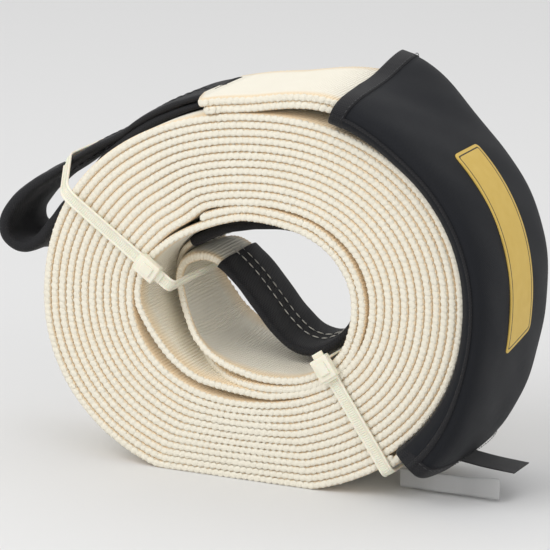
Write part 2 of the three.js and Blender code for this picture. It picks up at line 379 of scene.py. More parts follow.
def skin(name, rings, material, looped=False, marks=None, markName="gapShade"):
    rows, count = len(rings), len(rings[0])
    middles = [sum(ring, Vector()) / count for ring in rings]
    along = [0.0]
    for i in range(rows):
        along.append(along[-1] + (middles[(i + 1) % rows] - middles[i]).length)
    around = [[0.0] for ring in rings]
    for far, ring in zip(around, rings):
        for j in range(count):
            far.append(far[-1] + (ring[(j + 1) % count] - ring[j]).length)
    faces, places = [], []
    for i in range(rows if looped else rows - 1):
        k = (i + 1) % rows
        for j in range(count):
            m = (j + 1) % count
            faces.append((i * count + j, k * count + j, k * count + m, i * count + m))
            places += [(along[i], around[i][j]), (along[i + 1], around[k][j]),
                       (along[i + 1], around[k][j + 1]), (along[i], around[i][j + 1])]
    if not looped:
        for row in (0, rows - 1):
            faces.append(tuple(row * count + j for j in range(count)))
            places += [(rings[row][j].x + rings[row][j].z, rings[row][j].y) for j in range(count)]
    mesh = bpy.data.meshes.new(name)
    mesh.from_pydata([tuple(point) for ring in rings for point in ring], [], faces)
    cloth = mesh.uv_layers.new(name="cloth")
    cloth.data.foreach_set("uv", [value for place in places for value in place])
    # marks: one number per point, kept as an attribute; by default the share of painted shade on the rims'
    # flanks
    if marks:
        mark = mesh.attributes.new(markName, "FLOAT", "POINT")
        mark.data.foreach_set("value", [value for row in marks for value in row])
    return settled(name, mesh, material)


def settled(name, mesh, material):
    shell = bmesh.new()
    shell.from_mesh(mesh)
    bmesh.ops.recalc_face_normals(shell, faces=shell.faces)
    shell.to_mesh(mesh)
    shell.free()
    mesh.polygons.foreach_set("use_smooth", [True] * len(mesh.polygons))
    mesh.materials.append(material)
    piece = bpy.data.objects.new(name, mesh)
    bpy.context.scene.collection.objects.link(piece)
    return piece


def handOver(piece, slot, *nodes):
    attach(piece, "root")
    if nodes:
        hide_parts(*nodes)
    print(piece.name, len(piece.data.polygons), "faces")
    return piece


strap = {
    "edge": 49.6,  # half of the webbing's width, less the rim's yarn
    "half": 2.6,
    "rimRound": 1.6,
    "ribHeight": 0.2,
    "ribPitch": 2.3,
    "ribbedFrom": 2.0,  # half thickness at which the ribs begin to show, and where they are full
    "ribbedFull": 2.5,
    "fineStep": 0.575,
}


def strapSection(front, back, half, curl, across=9):
    # (y, rise, share of painted shade) around a flat strap with rounded rims; the painted shade darkens the
    # rims' flanks, where the turns lie against each other; curl lowers both rims below its middle
    rim = [(0.0, 1.0), (-0.55, 0.82), (-0.9, 0.4), (-0.9, -0.4), (-0.55, -0.82), (0.0, -1.0)]
    middle, reach = (front + back) / 2, (back - front) / 2
    inset = min(strap["rimRound"], reach * 0.3)

    def lifted(y):
        return -curl * ((y - middle) / reach) ** 2

    points = [(front + inset * (1 + y), half * rise + lifted(front), rise ** 2 * 0.5) for y, rise in rim]
    inner = [mix(front + inset, back - inset, (j + 1) / (across + 1)) for j in range(across)]
    points += [(y, -half + lifted(y), 0.0) for y in inner]
    points += [(back - inset * (1 + y), half * rise + lifted(back), rise ** 2 * 0.5)
               for y, rise in reversed(rim)]
    points += [(y, half + lifted(y), 0.0) for y in reversed(inner)]
    return points


def strapSkin(name, line, material, ribs=0.0, across=9):
    # line: (x, z, front, back, half thickness, curl) along the strap
    rings, marks = [], []
    gone = 0.0
    for i, (x, z, front, back, half, curl) in enumerate(line):
        if i:
            gone += math.dist(line[i - 1][:2], (x, z))
        left = leftOf(line, i)
        shown = smooth(strap["ribbedFrom"], strap["ribbedFull"], half)
        thick = half + ribs * shown * math.sin(wholeTurn * gone / strap["ribPitch"])
        section = strapSection(front, back, thick, curl, across)
        rings.append([spot(x + left[0] * rise, y, z + left[1] * rise) for y, rise, gapShade in section])
        # each point's share of the painted shade on the rims' flanks
        marks.append([gapShade for y, rise, gapShade in section])
    return skin(name, rings, material, False, marks)


# Stitches and rim loops: small beads set along lines by Geometry Nodes

def beadTree():
    tree = bpy.data.node_groups.new("beadsOnLine", "GeometryNodeTree")
    sockets = [("Line", "NodeSocketGeometry"), ("Spacing", "NodeSocketFloat"), ("Length", "NodeSocketFloat"),
               ("Width", "NodeSocketFloat"), ("Height", "NodeSocketFloat"), ("Slant", "NodeSocketFloat"),
               ("Unevenness", "NodeSocketFloat"), ("Seed", "NodeSocketInt"), ("Finish", "NodeSocketMaterial")]
    for name, kind in sockets:
        tree.interface.new_socket(name, in_out="INPUT", socket_type=kind)
    tree.interface.new_socket("Beads", in_out="OUTPUT", socket_type="NodeSocketGeometry")
    source = tree.nodes.new("NodeGroupInput").outputs
    link = tree.links.new

    def node(kind, sockets, **settings):
        made = tree.nodes.new(kind)
        for key, value in settings.items():
            setattr(made, key, value)
        for key, value in sockets.items():
            if isinstance(value, bpy.types.NodeSocket):
                link(value, made.inputs[key])
            else:
                made.inputs[key].default_value = value
        return made.outputs

    curve = node("GeometryNodeMeshToCurve", {"Mesh": source["Line"]})["Curve"]
    curve = node("GeometryNodeResampleCurve", {"Curve": curve, "Length": source["Spacing"]},
                 mode="LENGTH")["Curve"]
    tangent = node("GeometryNodeInputTangent", {})["Tangent"]
    lift = node("GeometryNodeInputNamedAttribute", {"Name": "lift"}, data_type="FLOAT_VECTOR")["Attribute"]
    turn = node("FunctionNodeAlignRotationToVector", {"Vector": tangent}, axis="X")["Rotation"]
    turn = node("FunctionNodeAlignRotationToVector", {"Rotation": turn, "Vector": lift},
                axis="Z", pivot_axis="X")["Rotation"]
    slant = node("ShaderNodeCombineXYZ", {"Z": source["Slant"]})["Vector"]
    slant = node("FunctionNodeEulerToRotation", {"Euler": slant})["Rotation"]
    turn = node("FunctionNodeRotateRotation", {"Rotation": turn, "Rotate By": slant},
                rotation_space="LOCAL")["Rotation"]
    size = node("ShaderNodeCombineXYZ",
                {"X": source["Length"], "Y": source["Width"], "Z": source["Height"]})["Vector"]
    low = node("ShaderNodeMath", {0: 1.0, 1: source["Unevenness"]}, operation="SUBTRACT")["Value"]
    high = node("ShaderNodeMath", {0: 1.0, 1: source["Unevenness"]}, operation="ADD")["Value"]
    change = tree.nodes.new("FunctionNodeRandomValue")
    change.data_type = "FLOAT"
    link(low, change.inputs[2])
    link(high, change.inputs[3])
    link(source["Seed"], change.inputs["Seed"])
    size = node("ShaderNodeVectorMath", {0: size, "Scale": change.outputs[1]}, operation="SCALE")["Vector"]
    bead = node("GeometryNodeMeshUVSphere", {"Segments": 6, "Rings": 4, "Radius": 0.5})["Mesh"]
    beads = node("GeometryNodeInstanceOnPoints",
                 {"Points": curve, "Instance": bead, "Rotation": turn, "Scale": size})["Instances"]
    beads = node("GeometryNodeRealizeInstances", {"Geometry": beads})["Geometry"]
    beads = node("GeometryNodeSetShadeSmooth", {"Geometry": beads})["Geometry"]
    beads = node("GeometryNodeSetMaterial", {"Geometry": beads, "Material": source["Finish"]})["Geometry"]
    link(beads, tree.nodes.new("NodeGroupOutput").inputs["Beads"])
    return tree


beadsOnLine = beadTree()


def beadRows(name, rows, sizes, material):
    # rows: lists of (place, direction away from the cloth); sizes in millimetres
    points, edges, lifts = [], [], []
    for row in rows:
        edges += [(len(points) + i, len(points) + i + 1) for i in range(len(row) - 1)]
        points += [tuple(place) for place, lift in row]
        lifts += [value for place, lift in row for value in lift]
    mesh = bpy.data.meshes.new(name + "Line")
    mesh.from_pydata(points, edges, [])
    mesh.attributes.new("lift", "FLOAT_VECTOR", "POINT").data.foreach_set("vector", lifts)
    guide = bpy.data.objects.new(name + "Line", mesh)
    bpy.context.scene.collection.objects.link(guide)
    modifier = guide.modifiers.new("beads", "NODES")
    modifier.node_group = beadsOnLine
    values = {key: sizes[key] / 1000 for key in ("Spacing", "Length", "Width", "Height")}
    values.update({"Slant": math.radians(sizes.get("Slant", 0)), "Unevenness": sizes.get("Unevenness", 0.05),
                   "Seed": 7, "Finish": material})
    for item in beadsOnLine.interface.items_tree:
        if item.in_out == "INPUT" and item.name in values:
            modifier[item.identifier] = values[item.name]
    shown = guide.evaluated_get(bpy.context.evaluated_depsgraph_get())
    made = bpy.data.meshes.new_from_object(shown)
    guide.modifiers.remove(modifier)
    bpy.data.objects.remove(guide)
    made.name = name
    if not made.materials:
        made.materials.append(material)
    piece = bpy.data.objects.new(name, made)
    bpy.context.scene.collection.objects.link(piece)
    return piece


# The wound turns

coil = {
    "turns": 12,
    "halfWidth": 153.0,
    "halfHeight": 128.0,
    "squareness": 2.15,
    "lean": 0.035,
    "flatDrop": 122.5,
    "tightHalfWidth": 86.0,
    "tightHalfHeight": 66.0,
    "start": math.radians(-43),
    "pointsPerTurn": 150,
    "step": 5.0,
    "thickness": 5.3,
    "turnGap": 0.12,
    "dip": 5.2,  # the inner turns sink in beside the sewn end's step
    "dipFrom": (117, 137),
    "dipTo": (150, 180),
}


def oval(angle, halfWidth, halfHeight):
    power = coil["squareness"]
    reach = (abs(math.cos(angle)) / halfWidth) ** power + (abs(math.sin(angle)) / halfHeight) ** power
    return reach ** (-1 / power) * (1 + coil["lean"] * math.sin(2 * angle))


def surfaceRadius(share, layer):
    angle = coil["start"] - wholeTurn * share
    free = oval(angle, coil["halfWidth"], coil["halfHeight"])
    degrees = math.degrees(angle) % 360
    dip = coil["dip"] * smooth(*coil["dipFrom"], degrees) * (1 - smooth(*coil["dipTo"], degrees))
    tight = oval(angle, coil["tightHalfWidth"], coil["tightHalfHeight"]) - dip
    shift = (free - tight) / coil["turns"] * (0.5 - share)
    floor = coil["flatDrop"] / -math.sin(angle) if math.sin(angle) < 0 else math.inf
    outside = min(free + shift, floor)
    return outside + (tight + shift - outside) * layer / coil["turns"]


def treadRadius(angle):
    return surfaceRadius((coil["start"] - angle) / wholeTurn % 1, 0)


def polar(radius, angle):
    return radius * math.cos(angle), radius * math.sin(angle)


def turnLine():
    line = []
    count = coil["turns"] * coil["pointsPerTurn"]
    for i in range(count + 1):
        turn = coil["turns"] * i / count
        layer = min(int(turn), coil["turns"] - 1)
        outer, inner = surfaceRadius(turn - layer, layer), surfaceRadius(turn - layer, layer + 1)
        angle = coil["start"] - wholeTurn * turn
        half = (outer - inner) / 2 - coil["turnGap"]
        line.append(polar((outer + inner) / 2, angle) + (-strap["edge"], strap["edge"], half, 0.0))
    return spaced(line, coil["step"])


rimLook = {"Spacing": 4.4, "Length": 7.2, "Width": 4.9, "Height": 1.5, "Slant": 20, "Unevenness": 0.08}


def rimRows(line, sides=(-1, 1), sunk=0.5):
    # Lines down the middle of a strap's two rims
    rows = []
    for side in sides:
        row = []
        for i, (x, z, front, back, half, curl) in enumerate(line):
            left = leftOf(line, i)
            y = front + sunk if side < 0 else back - sunk
            row.append((spot(x - left[0] * curl, y, z - left[1] * curl), Vector((0, side, 0))))
        rows.append(row)
    return rows


woundLine = turnLine()
handOver(strapSkin("woundTurns", woundLine, creamCloth, across=3), "webbing", "strap_coil")
handOver(beadRows("woundRims", rimRows(woundLine), rimLook, rimCloth), "webbing")
print("wound turns made")

# The innermost turn, the inner eye and the sewn end, as one strap

boreKnots = [
    (-27, -56.5), (-44, -51.5), (-59, -40.5), (-71, -26), (-80, -11), (-80, 5), (-70, 23), (-51, 37.5),
    (-35, 45.5), (-17, 52), (-2, 54.5), (22, 52.5), (46, 45), (65, 27), (71, 8), (70, -9), (63, -27),
    (46, -42), (24, -48.5),
]
eyeKnots = [  # x, z, front, back, half thickness, curl
    (8, -51.0, -49.6, 49.6, 2.6, 0), (-10, -50.0, -48.5, 49.6, 2.6, 2), (-23, -49, -46, 49, 2.6, 4),
    (-39, -45.5, -42, 47, 2.6, 7), (-53.5, -37, -37, 45, 2.6, 9), (-65, -24, -30, 43, 2.6, 10),
    (-72.5, -9.5, -23, 41, 2.6, 9), (-73.5, 3, -19, 40, 2.7, 6), (-67, 14.0, -17, 40, 2.9, 3),
    (-54, 18.5, -15, 40, 2.9, 1), (-41, 14.5, -13, 39, 2.6, 0), (-26, 2.5, -12, 38, 2.0, 0),
    (-12, -13.0, -12, 38, 1.8, 0), (0, -26.5, -12, 38, 1.8, 0), (13, -36.5, -12, 38, 1.8, 0),
    (27.5, -39.2, -12, 38, 1.8, 0), (42.2, -33, -12, 38, 1.8, 0), (56.3, -18.8, -12, 38, 1.8, 0),
    (63.0, -2, -12, 38, 1.8, 0), (60, 17, -12, 38, 1.8, 0), (49, 33, -12, 38, 1.8, 0),
    (28, 42.5, -12, 38, 1.8, 0), (0, 44.6, -12, 38, 1.8, 0), (-30, 39.7, -12, 38, 1.8, 0),
    (-52, 31.0, -12, 38, 1.8, 0), (-68, 20.5, -8, 39, 1.9, 0), (-78.0, 6, 2, 40, 1.9, 0),
    (-78.5, -9, 4, 42, 1.9, 0), (-71.5, -25, 0, 44, 2.0, 0), (-59.5, -39.5, -8, 46, 2.2, 0),
    (-44.5, -50.0, -22, 48, 2.4, 0), (-28, -54.6, -36, 49.6, 2.6, 0), (-12, -56.5, -46, 49.6, 2.6, 0),
]


innerEnd = {
    "joinAngles": (-43, -56, -70, -84),
    "joinSunk": (2.6, 5.0),
    "sunkOver": (-43, -95),
    "boreStep": 3.0,
    "turnDepth": 2.7,  # the innermost turn's middle, from the bore's surface
    "sewnDepth": 8.1,
    "sewnStart": (8.0, -57.6),
    "sewnLeft": -32.0,
    "sewnStep": (-35.5, 54.0),
    "rimmedWidth": 62.0,  # narrower than this the strap is folded, and shows no rim
    "shortestRim": 3,
}


def fullWidth(points):
    return [tuple(point[:2]) + (-strap["edge"], strap["edge"], strap["half"], 0.0) for point in points]


def innerStrapLine():
    joining = []
    for degrees in innerEnd["joinAngles"]:
        angle = math.radians(degrees)
        share = (coil["start"] - angle) / wholeTurn
        sunk = mix(*innerEnd["joinSunk"], smooth(*innerEnd["sunkOver"], degrees))
        joining.append(polar(surfaceRadius(share, coil["turns"]) - sunk, angle))
    bore = curveThrough([tuple(map(float, knot)) for knot in boreKnots], innerEnd["boreStep"])
    innermost = shifted(bore, innerEnd["turnDepth"])[::5]
    sewnEnd = [(x, z) for x, z in shifted(bore, innerEnd["sewnDepth"]) if x > innerEnd["sewnLeft"] or z < 0]
    sewnEnd = [(x, z) for x, z in sewnEnd if x > 0 or z > 0][::-1][::5]
    knots = fullWidth(joining + innermost) + [tuple(map(float, knot)) for knot in eyeKnots]
    knots += fullWidth([innerEnd["sewnStart"]] + sewnEnd + [innerEnd["sewnStep"]])
    return curveThrough(knots, strap["fineStep"], 24)


def rimmedRuns(line):
    # The stretches where the strap lies open at about its full width
    runs, run = [], []
    for point in line[::6]:
        if point[3] - point[2] > innerEnd["rimmedWidth"]:
            run.append(point)
        elif run:
            runs.append(run)
            run = []
    return [run for run in runs + [run] if len(run) > innerEnd["shortestRim"]]


innerLine = innerStrapLine()
handOver(strapSkin("innerStrap", innerLine, creamCloth, strap["ribHeight"], 7), "webbing", "strap_inner_eye")
innerRows = [row for run in rimmedRuns(innerLine) for row in rimRows(run)]
handOver(beadRows("innerRims", innerRows, rimLook, rimCloth), "webbing")
print("inner strap made")

# Woven eye sleeves

sleeveLook = {
    "halfWidth": 28.4,
    "thin": 3.3,
    "thick": 4.7,
    "edge": 0.35,
    "crease": 0.28,
    "mouth": 1.12,
    "sides": 16,
}
sleeveStitch = {"Spacing": 6.5, "Length": 5.6, "Width": 0.9, "Height": 0.8, "Unevenness": 0.12}
innerSleeveLook = {
    "from": (-40.0, 13.6),
    "to": (-60.0, 26.5),
    "setBack": 13.0,
    "stitches": ((8.5, 4.5), (17.0, 5.1)),  # each row's place across the sleeve and its height
}


def sleeveSection(setBack, gone, flat):
    # Thin at the sewn front edge, fuller at the rolled back edge, a little creased
    half = sleeveLook["halfWidth"]
    upper = []
    for j in range(sleeveLook["sides"] + 1):
        share = -math.cos(math.pi * j / sleeveLook["sides"])
        rounded = max(1 - abs(share) ** 6, 0.0) ** (1 / 3)
        full = mix(sleeveLook["thin"], sleeveLook["thick"], smooth(-0.25, 0.3, share))
        crease = sleeveLook["crease"] * math.sin(gone / 5.1 + 2.0 * share) * math.sin(gone / 13.0 + share * 4)
        upper.append((setBack + half * share, (full * flat + crease) * rounded + sleeveLook["edge"]))
    lower = [(y, -rise) for y, rise in reversed(upper)]
    return upper + lower


def sleeveSkin(name, line, setBack, material, fullness=lambda share: 1.0):
    rings = []
    gone = 0.0
    for i, point in enumerate(line):
        if i:
            gone += math.dist(line[i - 1][:2], point[:2])
        left = leftOf(line, i)
        ends = min(i, len(line) - 1 - i)
        flat = mix(sleeveLook["mouth"], 1.0, smooth(0, 4, ends)) * fullness(i / (len(line) - 1))
        section = sleeveSection(setBack, gone, flat)
        rings.append([spot(point[0] + left[0] * rise, y, point[1] + left[1] * rise) for y, rise in section])
    return skin(name, rings, material)


def faceRow(line, y, rise):
    row = []
    for i, point in enumerate(line):
        left = leftOf(line, i)
        lift = Vector((left[0], 0, left[1])) * (1 if rise > 0 else -1)
        row.append((spot(point[0] + left[0] * rise, y, point[1] + left[1] * rise), lift))
    return row


def between(line, first, last):
    # The stretch from the point nearest to first, to the point nearest to last
    near = [min(range(len(line)), key=lambda i: math.dist(line[i][:2], place)) for place in (first, last)]
    return line[near[0]:near[1] + 1]


def stitchLines(line, rows):
    return [faceRow(line, y, side * rise) for y, rise in rows for side in (-1, 1)]


innerSleeveLine = between(innerLine, innerSleeveLook["from"], innerSleeveLook["to"])[::3]
handOver(sleeveSkin("innerEyeSleeve", innerSleeveLine, innerSleeveLook["setBack"], sleeveCloth),
         "eye_weave", "inner_eye_sleeve")
innerStitchLines = stitchLines(innerSleeveLine, innerSleeveLook["stitches"])
handOver(beadRows("innerEyeStitches", innerStitchLines, sleeveStitch, whiteThread), "eye_weave")

# The outer end: a doubled lead over the top, then the outer eye

outerEnd = {
    "wall": 4.0,
    "fit": 0.3,
    "mouthLift": 4.0,
    "liftFrom": (42, 67),
    "settled": (67, 95),  # the lead comes down from the wear sleeve's mouth to the coil
    "startOver": (-43, -33),
    "mouth": 106,
    "spread": 119,
    "upperTo": 141,
    "lowerFrom": 158,
    "folded": 6.0,
    "legRise": 3.3,
    "legPitch": 5.2,
    "strapShape": (-9.0, 37.0, 1.1, 0.0),  # front, back, half thickness and curl in the eye
    "bareRings": 7,
    "setBack": 14.0,
    "flat": 0.72,
    "full": 1.45,
    "stitches": ((9.5, 3.3), (18.0, 3.6)),
}
leads = {
    "upperLead": {"offset": 2.7, "from": -33.0, "to": 112.0},
    "lowerLead": {"offset": -2.6, "from": -43.0, "to": 111.0},
}
leadLook = {"narrowOver": 6.0, "narrowFront": -16.0, "narrowHalf": 3.0, "rimmedFront": -45.0, "knots": 28}
tipKnots = [
    (-139, 80.5), (-162, 64.5), (-181, 52), (-195, 39), (-202.5, 26.5), (-201.5, 14.5), (-191, 8.5),
    (-178, 13), (-166, 27), (-155, 41),
]


def wearLift(degrees):
    return outerEnd["mouthLift"] * smooth(*outerEnd["liftFrom"], degrees)


def leadRise(degrees):
    seated = coil["thickness"] + outerEnd["fit"]
    sleeved = seated + outerEnd["wall"] + 2 * outerEnd["fit"]
    lifted = mix(sleeved + wearLift(degrees), seated, smooth(*outerEnd["settled"], degrees))
    return mix(coil["thickness"] / 2 + outerEnd["fit"], lifted, smooth(*outerEnd["startOver"], degrees))


def onTread(degrees, rise):
    angle = math.radians(degrees)
    return polar(treadRadius(angle) + rise, angle)


def leadLine(lead):
    knots = []
    for k in range(leadLook["knots"] + 1):
        degrees = mix(lead["from"], lead["to"], k / leadLook["knots"])
        narrowing = smooth(lead["to"] - leadLook["narrowOver"], lead["to"], degrees)
        front = mix(-strap["edge"], leadLook["narrowFront"], narrowing)
        half = mix(strap["half"], leadLook["narrowHalf"], narrowing)
        knots.append(onTread(degrees, leadRise(degrees) + lead["offset"]) + (front, strap["edge"], half, 0.0))
    return curveThrough(knots, strap["fineStep"])


def outerEyeLine():
    legRise, legPitch = outerEnd["legRise"], outerEnd["legPitch"]
    mouth, upperTo, lowerFrom = outerEnd["mouth"], outerEnd["upperTo"], outerEnd["lowerFrom"]
    sewnUpper = outerEnd["fit"] + 2 * coil["thickness"] - outerEnd["folded"] / 2
    sewnLower = 2 * outerEnd["fit"] + outerEnd["folded"] / 2

    def leg(degrees, sewn, apart):
        share = smooth(mouth, outerEnd["spread"], degrees)
        return onTread(degrees, mix(sewn, apart, share))

    upper = [leg(mix(mouth, upperTo, k / 6), sewnUpper, legRise + legPitch) for k in range(7)]
    lower = [leg(mix(lowerFrom, mouth, k / 7), sewnLower, legRise) for k in range(8)]
    knots = upper + [tuple(map(float, knot)) for knot in tipKnots] + lower
    return [point + outerEnd["strapShape"] for point in curveThrough(knots, 1.6)]


def outerFullness(share):
    # Pressed flat along the coil, and round at the eye's tip
    return mix(outerEnd["flat"], outerEnd["full"], smooth(0.28, 0.45, share) * smooth(1.0, 0.7, share))


eyeLine = outerEyeLine()
handOver(strapSkin("outerStrap", eyeLine, creamCloth), "webbing", "strap_outer_end")
for name, lead in leads.items():
    line = leadLine(lead)
    handOver(strapSkin(name, line, creamCloth, strap["ribHeight"]), "webbing")
    rims = rimRows([point for point in line[::6] if point[2] < leadLook["rimmedFront"]])
    handOver(beadRows(name + "Rims", rims, rimLook, rimCloth), "webbing")
outerSleeveLine = eyeLine[outerEnd["bareRings"]:-outerEnd["bareRings"]]
outerSkin = sleeveSkin("outerEyeSleeve", outerSleeveLine, outerEnd["setBack"], sleeveCloth, outerFullness)
handOver(outerSkin, "eye_weave", "outer_eye_sleeve")
outerStitchLines = stitchLines(outerSleeveLine, outerEnd["stitches"])
handOver(beadRows("outerEyeStitches", outerStitchLines, sleeveStitch, blackThread), "eye_weave")
print("outer end made")

# The padded wear sleeve

wear = {
    "halfWidth": 60.0,
    "rise": 21.8,
    "seamRise": 9.0,
    "fullness": 3.2,
    "low": -38.5,
    "highFront": 66.0,
    "highBack": 68.5,
    "backFlare": 13.5,
    "backFlareFrom": 0.72,
    "lowFlare": 8.0,
    "lowFlareTo": 0.3,
    "hemStart": 0.034,
    "hemProud": 0.7,
    "hemStitchAt": (0.03, 0.97),
    "ripple": 0.35,
    "steps": 150,
    "across": 40,
}


def wearHeight(share):
    crown = max(1 - abs(share) ** wear["fullness"], 0.0) ** (1 / wear["fullness"])
    return wear["seamRise"] + (wear["rise"] - wear["seamRise"]) * crown


def wearPlace(along, y, rise):
    # along runs from 0 at the lower end to 1 at the upper one, which is longer at the back
    high = mix(wear["highFront"], wear["highBack"], (y + wear["halfWidth"]) / (2 * wear["halfWidth"]))
    degrees = mix(wear["low"], high, along)
    flare = wear["backFlare"] * smooth(wear["backFlareFrom"], 1.0, along) * smooth(-10, 60, y)
    flare = (flare + wear["lowFlare"] * smooth(wear["lowFlareTo"], 0.0, along)) * smooth(2, 12, rise)
    x, z = onTread(degrees, rise + outerEnd["fit"] + wearLift(degrees) + flare)
    return spot(x, y, z)


def wearSection(proud=0.0):
    points = []
    for j in range(wear["across"] + 1):
        share = -math.cos(math.pi * j / wear["across"])
        points.append((share * (wear["halfWidth"] + proud * abs(share) ** 8), wearHeight(share) + proud))
    side = wear["halfWidth"] * 0.97
    points += [(side + 1.2, 5.5), (side - 1.2, 2.0), (side - 5, 0.2 - proud)]
    points += [(mix(side - 10, 10 - side, j / 8), 0.0 - proud) for j in range(9)]
    points += [(5 - side, 0.2 - proud), (1.2 - side, 2.0), (-side - 1.2, 5.5)]
    return points


def wearSkin(name, fromAlong, toAlong, steps, proud, material):
    rings = []
    for i in range(steps + 1):
        along = mix(fromAlong, toAlong, i / steps)
        ends = min(along, 1 - along)
        puff = 1 - 0.05 * (1 - smooth(0.0, 0.05, ends))
        ring = []
        for y, rise in wearSection(proud):
            ripple = wear["ripple"] * math.sin(along * 31 + y * 0.05) * math.sin(along * 12 + y * 0.11)
            ring.append(wearPlace(along, y, rise * puff + (ripple if rise > 12 else 0.0)))
        rings.append(ring)
    return skin(name, rings, material)


wearSleeve = handOver(wearSkin("wearSleeve", 0.0, 1.0, wear["steps"], 0.0, neopreneCloth),
                      "neoprene", "wear_sleeve")
hems = {"lowHem": (-0.002, wear["hemStart"]), "highHem": (1 - wear["hemStart"], 1.002)}
for name, (hemFrom, hemTo) in hems.items():
    handOver(wearSkin(name, hemFrom, hemTo, 6, wear["hemProud"], sleeveCloth), "neoprene")
hemStitch = {"Spacing": 4.0, "Length": 3.0, "Width": 0.7, "Height": 0.7, "Unevenness": 0.1, "Proud": 1.2}


def hemRow(along):
    row = []
    for y, rise in wearSection(hemStitch["Proud"])[:wear["across"] + 1]:
        place = wearPlace(along, y, rise)
        row.append((place, (place - wearPlace(along, y * 0.9, 8.0)).normalized()))
    return row


hemRows = [hemRow(along) for along in wear["hemStitchAt"]]
handOver(beadRows("hemStitches", hemRows, hemStitch, blackThread), "neoprene")

seam = {"reach": 60.3, "rise": 8.6, "half": 1.1, "steps": 160, "sides": 8}


def seamBead(side):
    rings = []
    for i in range(seam["steps"] + 1):
        ring = []
        for k in range(seam["sides"]):
            turn = wholeTurn * k / seam["sides"]
            y = side * (seam["reach"] + seam["half"] * math.cos(turn))
            ring.append(wearPlace(i / seam["steps"], y, seam["rise"] + seam["half"] * math.sin(turn)))
        rings.append(ring)
    return rings


for side, name in ((-1, "frontSeam"), (1, "backSeam")):
    handOver(skin(name, seamBead(side), sleeveCloth), "neoprene")

# The bare gold panel on the wear sleeve

panel = {
    "low": -7.0,
    "lowBack": -4.0,
    "high": 39.5,
    "setBack": -5.0,
    "halfWidth": 19.0,
    "corner": 4.0,
    "rise": 0.35,
    "thickness": 0.5,
    "sunk": 0.3,
    "steps": 64,
    "across": 24,
}


def panelSkin():
    # Rings across the panel, rounded at its corners, with each point's distance to the edge
    arc = math.radians(panel["high"] - panel["low"]) * (treadRadius(0.3) + wear["rise"])
    proud = panel["rise"] + panel["thickness"]
    across = panel["across"]
    rings, marks = [], []
    for i in range(panel["steps"] + 1):
        share = 0.5 - 0.5 * math.cos(math.pi * i / panel["steps"])
        toEnd = min(share, 1 - share) * arc
        corner = panel["corner"]
        drop = corner - math.sqrt(max(corner ** 2 - (corner - min(toEnd, corner)) ** 2, 0.0))
        half = panel["halfWidth"] - drop
        top, distances = [], []
        for j in range(across + 1):
            y = mix(-half, half, j / across)
            low = mix(panel["low"], panel["lowBack"], 0.5 + y / panel["halfWidth"] / 2)
            degrees = mix(low, panel["high"], share)
            height = wearHeight((y + panel["setBack"]) / wear["halfWidth"])
            x, z = onTread(degrees, height + outerEnd["fit"] + wearLift(degrees))
            reach = math.hypot(x, z)
            top.append((x / reach, z / reach, reach, y + panel["setBack"]))
            inX, inY = toEnd, panel["halfWidth"] - abs(y)
            rounded = corner - math.hypot(max(corner - inX, 0), max(corner - inY, 0))
            distances.append(min(inX, inY, rounded if inX < corner and inY < corner else math.inf) / 1000)
        upper = [spot(a * (r + proud), y, b * (r + proud)) for a, b, r, y in top]
        lower = [spot(a * (r - panel["sunk"]), y, b * (r - panel["sunk"])) for a, b, r, y in reversed(top)]
        rings.append(upper + lower)
        marks.append(distances + [0.0] * (across + 1))
    return skin("printPanel", rings, goldInk, False, marks, "inset")


handOver(panelSkin(), "print", "print_panel")
print("wear sleeve made")

# Cable ties

ties = {
    "lower": {"from": (53.3, -33.4), "to": (101.0, -103.0), "headAlong": 4.0, "node": "cable_tie_lower"},
    "upper": {"from": (-58.0, 5.0), "to": (-155.5, 72.8), "headAlong": 19.0, "node": "cable_tie_upper",
              "slantFrom": 88.0, "slantTo": -5.0},
}
tieSizes = {
    "width": 9.0,
    "thickness": 1.6,
    "edge": 1.1,  # the raised edge's width, and how deep the band lies between the edges
    "sunk": 0.35,
    "bevel": 0.3,
    "half": 50.9,
    "corner": 3.0,
    "softCorner": 14.0,
    "step": 4,
}
tieHeadShape = {
    "height": 6.0,
    "bevel": 0.18,
    "blocks": [  # size and place from the head's middle: along the tie, out from the coil and across
        ((16.0, 6.0, 13.0), (0.0, 0.0, 0.0)),
        ((8.8, 3.0, 7.15), (0.0, -2.7, 0.0)),
        ((3.2, 4.2, 10.4), (8.0, 0.4, 0.0)),
        ((5.0, 1.4, 8.0), (-8.8, 1.2, 0.0)),
    ],
}
tieRibs = {"Spacing": 1.5, "Length": 0.8, "Width": 6.0, "Height": 0.6, "Unevenness": 0.0}


def tiePlace(tie, along, y, side):
    dx, dz = tie["to"][0] - tie["from"][0], tie["to"][1] - tie["from"][1]
    length = math.hypot(dx, dz)
    dx, dz = dx / length, dz / length
    return spot(tie["from"][0] + dx * along - dz * side, y, tie["from"][1] + dz * along + dx * side)


def tieLoop(tie):
    length = math.dist(tie["from"], tie["to"])
    corner, half, grow = tieSizes["corner"], tieSizes["half"], tieSizes["thickness"] / 2
    bends = [(corner, corner - half, corner, 180, 270), (length - corner, corner - half, corner, 270, 360),
             (length - corner, half - corner, corner, 0, 90), (corner, half - corner, corner, 90, 180)]
    if "slantFrom" in tie:
        # Pulled taut from the coil's front edge to the eye's front edge
        soft = tieSizes["softCorner"]
        reach, depth = length - soft - tie["slantFrom"], tie["slantTo"] - soft + half
        slant = 360 - math.degrees(math.atan2(reach, depth))
        bends[1:2] = [(tie["slantFrom"], soft - half, soft, 270, slant),
                      (length - soft, tie["slantTo"], soft, slant, 360)]
    loop = []
    for a, y, radius, start, end in bends:
        for k in range(7):
            turn = math.radians(mix(start, end, k / 6))
            loop.append((a + (radius + grow) * math.cos(turn), y + (radius + grow) * math.sin(turn),
                         math.cos(turn), math.sin(turn)))
    full = []
    for i, point in enumerate(loop):
        after = loop[(i + 1) % len(loop)]
        count = max(int(math.dist(point[:2], after[:2]) / tieSizes["step"]), 1)
        full += [tuple(mix(a, b, k / count) for a, b in zip(point, after)) for k in range(count)]
    return full


